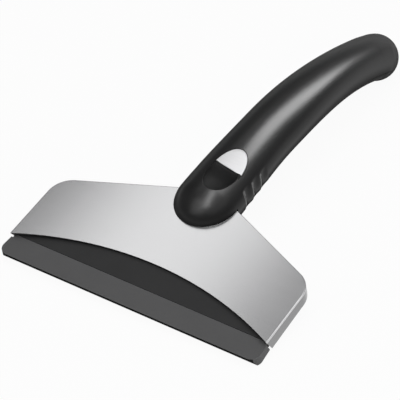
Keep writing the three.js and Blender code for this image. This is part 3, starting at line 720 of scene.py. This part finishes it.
def scallop_depth(y, z):
    """Three crescents: a steep edge towards the nose that fades out towards the tip."""
    depth = 0.0
    for i in range(SCALLOP_COUNT):
        middle = SCALLOP_MIDDLE_Z - i * SCALLOP_LOWER
        across = (z - middle) / (SCALLOP_HALF_LENGTH - i * SCALLOP_SHORTER)
        if abs(across) >= 1:
            continue
        full = SCALLOP_DEPTH * (1 - across * across)
        bow = SCALLOP_BOW * (1 - math.sqrt(1 - across * across))
        ahead = y - SCALLOP_FIRST_Y - i * SCALLOP_PITCH - bow
        if 0 < ahead <= SCALLOP_WALL:
            depth = max(depth, full * math.sin(math.pi / 2 * ahead / SCALLOP_WALL))
        elif SCALLOP_WALL < ahead < SCALLOP_WALL + SCALLOP_RAMP:
            depth = max(depth, full * (1 - eased((ahead - SCALLOP_WALL) / SCALLOP_RAMP)))
    return depth


def on_scallop_wall(y, z, step=0.2):
    """Whether the crescents get steeply deeper here towards the tip."""
    return scallop_depth(y + step, z) - scallop_depth(y, z) > SCALLOP_WALL_SLOPE * step


def skin_point(y, angle):
    """Point of the handle's outer form before the recess and the scallops."""
    half_width, half_height = handle_size(y)
    cos, sin = math.cos(angle), math.sin(angle)
    reach = half_width * half_height / math.hypot(half_height * cos, half_width * sin)
    away = (TIP_Y - y) / math.cos(math.atan(axis_slope(y)))
    if away < TIP_RADIUS - 0.01:
        ring = math.sqrt(TIP_RADIUS ** 2 - away ** 2)
        inside = ring ** 2 - (TIP_SINK * cos) ** 2
        if inside > 0:
            ball = -TIP_SINK * sin + math.sqrt(inside)
            reach = soft_max(reach, ball, TIP_BLEND) if away > 1 else max(reach, ball)
    py, pz = over_axis(y, reach * sin)
    return Vector((reach * cos, py, pz))


def handle_skin(sides=192, ball_rings=26):
    rings = []
    for y in handle_stations():
        ring = []
        for i in range(sides):
            ring.append(skin_point(y, 2 * math.pi * i / sides))
        rings.append(ring)
    turn = math.atan(axis_slope(TIP_Y))
    ahead = Vector((0, math.cos(turn), math.sin(turn)))
    over = Vector((0, -math.sin(turn), math.cos(turn)))
    centre = Vector((0, *over_axis(TIP_Y, -TIP_SINK)))
    for k in range(1, ball_rings):
        lean = math.pi / 2 * k / ball_rings
        ring = []
        for i in range(sides):
            angle = 2 * math.pi * i / sides
            side = Vector((1, 0, 0)) * math.cos(angle) + over * math.sin(angle)
            ring.append(centre + TIP_RADIUS * (math.cos(lean) * side + math.sin(lean) * ahead))
        rings.append(ring)
    for ring in rings:
        for point in ring:
            depth = scallop_depth(point.y, point.z)
            if depth > 0 and abs(point.x) > SCALLOP_LEAST_X:
                point.x -= math.copysign(depth, point.x)
    verts = [Vector((0, NOSE_TIP_Y, AXIS_Z))]
    for ring in rings:
        verts.extend(ring)
    verts.append(centre + TIP_RADIUS * ahead)
    faces = []
    last = len(verts) - 1
    for i in range(sides):
        j = (i + 1) % sides
        faces.append((0, 1 + j, 1 + i))
        for r in range(len(rings) - 1):
            a = 1 + r * sides
            b = a + sides
            faces.append((a + i, a + j, b + j, b + i))
        end = 1 + (len(rings) - 1) * sides
        faces.append((last, end + i, end + j))
    return mesh_from(verts, faces, "handle_skin")


def under_parting(shift):
    points = []
    start, end = NOSE_TIP_Y - CUT_PAST, TIP_Y + 3 * TIP_RADIUS
    steps = 90
    for i in range(steps + 1):
        points.append(over_axis(start + (end - start) * i / steps, PARTING_OFFSET + shift))
    floor = axis_height(end) - 3 * TIP_RADIUS
    points += [(end, floor), (start, floor)]
    return prism(points, -2 * NOSE_SIZE[0], 2 * NOSE_SIZE[0], True)


def head_space():
    """Room for the head in the handle's nose."""
    corner = HEAD_HALF_WIDTH - HEAD_SIDE_TAPER
    outline = [
        (-HEAD_HALF_WIDTH, HEAD_FRONT_Y),
        (HEAD_HALF_WIDTH, HEAD_FRONT_Y),
        (corner, HEAD_CORNER_Y + FIT),
        (HEAD_BACK_HALF_WIDTH + FIT / 2, HEAD_BACK_Y + FIT),
        (-HEAD_BACK_HALF_WIDTH - FIT / 2, HEAD_BACK_Y + FIT),
        (-corner, HEAD_CORNER_Y + FIT),
    ]
    return prism(outline, -2 * NOSE_SIZE[1], FIT, False)


def screw_bore(y):
    shaft = HANDLE_SCREW_SHAFT / 2 + FIT
    head = HANDLE_SCREW_HEAD / 2 + FIT
    low, top = -3 * NOSE_SIZE[1], SCREW_TIP + FIT
    profile = [
        (0, low),
        (head, low),
        (head, SCREW_SEAT),
        (shaft, SCREW_SEAT),
        (shaft, top),
        (0, top),
    ]
    return turned(profile, handle_place(y))


def make_handle():
    """Both halves of the handle, each with room for what it holds."""
    tang_half = TANG_WIDTH / 2 + FIT
    low = -3 * NOSE_SIZE[1]
    tang_space = block(-tang_half, tang_half, NOSE_TIP_Y, TANG_END_Y + FIT, low, TANG_TOP + FIT)
    bores = [screw_bore(y) for y in HANDLE_SCREW_YS]
    rooms = [under_parting(PARTING_GAP / 2), head_space(), tang_space, thumb_scoop(), inlay_seat()]
    upper = carve(handle_skin(), rooms + bores)
    for face in upper.polygons:
        local = RECESS_BACK @ face.center
        oval = (local.x / RECESS_HALF_WIDTH) ** 2 + (local.y / RECESS_HALF_LENGTH) ** 2
        # Faces inside the recess get the painted shade.
        if oval < 0.97 and local.z > -RECESS_DEPTH - 1:
            face.material_index = 1
        elif abs(face.center.x) > SCALLOP_LEAST_X and on_scallop_wall(face.center.y, face.center.z):
            face.material_index = 2
    upper.transform(TOOL)
    upper_finishes = [HANDLE_BLACK, SCOOP_SHADE_BLACK, GROOVE_BLACK]
    upper_piece = finish_piece(upper, "handle_upper", "handle_body", upper_finishes)
    bores = [screw_bore(y) for y in HANDLE_SCREW_YS]
    lower = carve(handle_skin(), bores, keep_inside=under_parting(-PARTING_GAP / 2))
    lower.transform(TOOL)
    lower_piece = finish_piece(lower, "handle_lower", "handle_lid", [HANDLE_BLACK])
    return [upper_piece, lower_piece]


def make_inlay(sides=72, front_steps=24, loops=6):
    """Half-oval plate: straight front edge, slightly crowned face."""
    half_width = RECESS_HALF_WIDTH - FIT
    half_length = RECESS_HALF_LENGTH - FIT
    start = math.asin(INLAY_FRONT / half_length)
    outline = []
    for i in range(sides + 1):
        angle = start + (math.pi - 2 * start) * i / sides
        outline.append((half_width * math.cos(angle), half_length * math.sin(angle)))
    left, right = outline[-1], outline[0]
    for i in range(1, front_steps):
        t = i / front_steps
        outline.append((left[0] + (right[0] - left[0]) * t, INLAY_FRONT))
    middle = (0.0, INLAY_FRONT + (half_length - INLAY_FRONT) * 0.42)
    count = len(outline)
    verts = []
    rim = 0.03
    shrinks = [(0.0, -INLAY_THICKNESS), (0.0, -INLAY_EDGE), (0.4 * rim, -0.3 * INLAY_EDGE), (rim, 0.0)]
    shrinks += [(rim + (1 - rim) * k / loops, 0.0) for k in range(1, loops)]
    for shrink, drop in shrinks:
        for x, y in outline:
            px = x + (middle[0] - x) * shrink
            py = y + (middle[1] - y) * shrink
            crown = -INLAY_CROWN * (px / half_width) ** 2 if drop > -INLAY_THICKNESS else 0
            verts.append(Vector((px, py, inlay_height(py) + drop + crown)))
    verts.append(Vector((middle[0], middle[1], inlay_height(middle[1]))))
    faces = [tuple(range(count))]
    for level in range(len(shrinks) - 1):
        a = level * count
        b = a + count
        for i in range(count):
            j = (i + 1) % count
            faces.append((a + i, a + j, b + j, b + i))
    top = (len(shrinks) - 1) * count
    for i in range(count):
        faces.append((top + i, top + (i + 1) % count, len(verts) - 1))
    mesh = mesh_from(verts, faces, "inlay")
    mesh.transform(TOOL @ RECESS)
    finish_piece(mesh, "thumb_plate", "thumb_inlay", [BRIGHT_INLAY])


# Head


def eased_node(node, radius, steps):
    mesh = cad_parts[node].data.copy()
    mesh.materials.clear()
    return ease_edges(mesh, radius, steps)


def make_shell():
    """Pressed cap: satin face, polished roll and flanges; the roll is painted lighter as a painted
    highlight, the flanges darker as painted shade.
    """
    mesh = eased_node("head_shell", 0.00015, 2)
    for face in mesh.polygons:
        level = abs(face.normal.dot(HEAD_UP))
        # Sideways faces get the painted shade, the roll between them the painted highlight.
        if level <= 0.2:
            face.material_index = 2
        elif level <= 0.995:
            face.material_index = 1
    finish_piece(mesh, "head_cap", "head_shell", [SATIN_STEEL, ROLL_PAINTED_HIGHLIGHT, FLANGE_PAINTED_SHADE])


def make_core():
    mesh = eased_node("head_core", 0.0001, 2)
    finish_piece(mesh, "head_filling", "head_core", [CORE_BLACK])


def make_blade():
    """Bar and tongue; the scraping edge's forward faces are painted darker than the top, as painted
    shade.
    """
    mesh = eased_node("blade", 0.00025, 3)
    for face in mesh.polygons:
        # Faces turned forward get the painted shade.
        face.material_index = 1 if face.normal.dot(HEAD_FRONT) > 0.8 else 0
    finish_piece(mesh, "scraping_blade", "blade", [BLADE_GREY, BLADE_FRONT_SHADE])


def make_tang():
    mesh = eased_node("tang", 0.00015, 2)
    finish_piece(mesh, "steel_tang", "tang", [SCREW_STEEL])


# Screws


def cross_slot(z):
    half, thin, deep = 1.5, 0.4, 0.7
    return [
        block(-half, half, -thin, thin, z - CUT_PAST, z + deep),
        block(-thin, thin, -half, half, z - CUT_PAST, z + deep),
    ]


def make_screw(node, profile, place):
    mesh = carve(turned(profile), cross_slot(profile[0][1]))
    mesh.transform(TOOL @ place)
    finish_piece(mesh, node.replace("_screw_", "_fixing_"), node, [SCREW_STEEL])


def make_screws():
    shaft, head = HEAD_SCREW_SHAFT / 2, HEAD_SCREW_HEAD / 2
    chamfer = 0.12
    flat_head = [
        (0, 0),
        (head - chamfer, 0),
        (head, chamfer),
        (shaft, HEAD_SCREW_HEAD_HEIGHT),
        (shaft, HEAD_SCREW_LENGTH),
        (0, HEAD_SCREW_LENGTH),
    ]
    for i in range(BLADE_SCREW_COUNT):
        across = (i - (BLADE_SCREW_COUNT - 1) / 2) * BLADE_SCREW_PITCH
        place = Matrix.Translation((across, BLADE_SCREW_Y, CORE_BOTTOM))
        make_screw(f"blade_screw_{i + 1}", flat_head, place)
    for i in range(TANG_SCREW_COUNT):
        place = Matrix.Translation((0, TANG_SCREW_Y + i * TANG_SCREW_PITCH, CORE_BOTTOM))
        make_screw(f"tang_screw_{i + 1}", flat_head, place)
    shaft, head = HANDLE_SCREW_SHAFT / 2, HANDLE_SCREW_HEAD / 2
    under = SCREW_SEAT - FIT
    low = under - HANDLE_SCREW_HEAD_HEIGHT
    pan_head = [
        (0, low),
        (head - 0.7, low),
        (head - 0.25, low + 0.2),
        (head, low + 0.8),
        (head, under),
        (shaft, under),
        (shaft, SCREW_TIP),
        (0, SCREW_TIP),
    ]
    for i, y in enumerate(HANDLE_SCREW_YS):
        make_screw(f"handle_screw_{i + 1}", pan_head, handle_place(y))


# Stage


def make_floor():
    material, tree, shader = new_finish("pale_floor")
    shader.inputs["Base Color"].default_value = (FLOOR_GREY, FLOOR_GREY, FLOOR_GREY, 1)
    shader.inputs["Roughness"].default_value = 0.9
    glow = shader_node(tree, "ShaderNodeEmission")
    path = shader_node(tree, "ShaderNodeLightPath")
    seen = math_node(tree, "MAXIMUM", path.outputs["Is Camera Ray"], path.outputs["Is Glossy Ray"])
    seen = math_node(tree, "MAXIMUM", seen, path.outputs["Is Transmission Ray"])
    mix = shader_node(tree, "ShaderNodeMixShader")
    link(tree, math_node(tree, "MULTIPLY", seen, FLOOR_GLOW), mix.inputs[0])
    link(tree, shader.outputs[0], mix.inputs[1])
    link(tree, glow.outputs[0], mix.inputs[2])
    link(tree, mix.outputs[0], tree.nodes["Material Output"].inputs["Surface"])
    corners = ((-1, -1), (1, -1), (1, 1), (-1, 1))
    verts = [Vector((x * FLOOR_HALF, y * FLOOR_HALF, 0)) for x, y in corners]
    floor = bpy.data.objects.new("floor", mesh_from(verts, [(0, 1, 2, 3)], "floor"))
    floor.data.materials.append(material)
    bpy.context.scene.collection.objects.link(floor)


def make_world():
    """Pale studio all round, with a darker wall behind the handle."""
    world = bpy.data.worlds.new("studio")
    bpy.context.scene.world = world
    world.use_nodes = True
    tree = world.node_tree
    place = shader_node(tree, "ShaderNodeTexCoord")
    facing = shader_node(tree, "ShaderNodeVectorMath", operation="DOT_PRODUCT")
    link(tree, place.outputs["Generated"], facing.inputs[0])
    facing.inputs[1].default_value = WALL_TOWARDS
    nearness = shader_node(tree, "ShaderNodeMapRange", interpolation_type="SMOOTHSTEP")
    nearness.inputs["From Min"].default_value = WALL_START
    nearness.inputs["From Max"].default_value = WALL_FULL
    link(tree, facing.outputs["Value"], nearness.inputs["Value"])
    light = tint(tree, nearness.outputs["Result"], grey(ROOM_GREY), grey(WALL_GREY))
    link(tree, light, tree.nodes["Background"].inputs["Color"])


def area_light(name, place, aim, along, width, length, power):
    """Soft rectangular lamp whose long side runs as nearly as it can along the given direction."""
    lamp = bpy.data.lights.new(name, "AREA")
    lamp.shape = "RECTANGLE"
    lamp.size = width
    lamp.size_y = length
    lamp.energy = power
    back = (Vector(place) - Vector(aim)).normalized()
    side = Vector(along).cross(back).normalized()
    turn = Matrix((side, back.cross(side), back)).transposed().to_4x4()
    holder = bpy.data.objects.new(name, lamp)
    holder.matrix_world = Matrix.Translation(place) @ turn
    bpy.context.scene.collection.objects.link(holder)
    return holder


def light_only(lamp, pieces):
    """Keeps a lamp to some pieces, so that it draws its highlight there and nowhere else."""
    lit = bpy.data.collections.new(lamp.name + "_pieces")
    for piece in pieces:
        lit.objects.link(piece)
    lamp.light_linking.receiver_collection = lit


def make_lights(handle):
    """Two softboxes for the whole tool, and three that draw the highlights of its black handle."""
    area_light(
        "key_softbox", (0.55, -0.35, 0.9), aim=(0.55, -0.35, 0), along=(0, 1, 0),
        width=1.6, length=1.6, power=6.6)
    area_light(
        "head_softbox", (-0.226, 0.10, 0.42), aim=(0.0, -0.075, 0.01), along=(0, 1, 0.2),
        width=0.105, length=0.35, power=0.135)
    strip = area_light(
        "handle_strip", (0.088, 0.236, 0.2), aim=(0.088, 0.236, 0), along=(0.36, 0.933, 0),
        width=0.105, length=0.40, power=2.15)
    nose = area_light(
        "nose_softbox", (0.05, -0.11, 0.46), aim=(0.02, -0.05, 0.02), along=(-0.25, 1, 0),
        width=0.09, length=0.44, power=1.65)
    front = area_light(
        "front_softbox", (-0.10, -0.43, 0.48), aim=(0.0, -0.055, 0.025), along=(0, 1, 0),
        width=0.42, length=0.55, power=1.32)
    for lamp in (strip, nose, front):
        light_only(lamp, handle)


def make_camera():
    toward = Vector((
        math.sin(VIEW_TURN) * math.cos(VIEW_RISE),
        -math.cos(VIEW_TURN) * math.cos(VIEW_RISE),
        math.sin(VIEW_RISE),
    ))
    forward = -toward
    right = forward.cross(Vector((0, 0, 1))).normalized()
    down = forward.cross(right)
    across = math.cos(VIEW_ROLL) * right + math.sin(VIEW_ROLL) * down
    drop = -math.sin(VIEW_ROLL) * right + math.cos(VIEW_ROLL) * down
    centre = -(across * VIEW_OFFSET.x + drop * VIEW_OFFSET.y + forward * VIEW_OFFSET.z) * MILLIMETRE
    pose = Matrix.Identity(4)
    for column, axis in enumerate((across, -drop, -forward, centre)):
        for row in range(3):
            pose[row][column] = axis[row]
    data = bpy.data.cameras.new("camera")
    data.sensor_width = SENSOR_WIDTH
    data.lens = FOCAL_PIXELS / PICTURE_PIXELS * SENSOR_WIDTH
    data.clip_start = 0.01
    data.clip_end = 50.0
    camera = bpy.data.objects.new("camera", data)
    camera.matrix_world = LAID @ pose
    bpy.context.scene.collection.objects.link(camera)
    bpy.context.scene.camera = camera


make_camera()
make_floor()
make_world()
make_lights(make_handle())
make_inlay()
make_shell()
make_core()
make_blade()
make_tang()
make_screws()
bpy.context.scene.view_settings.view_transform = "Standard"
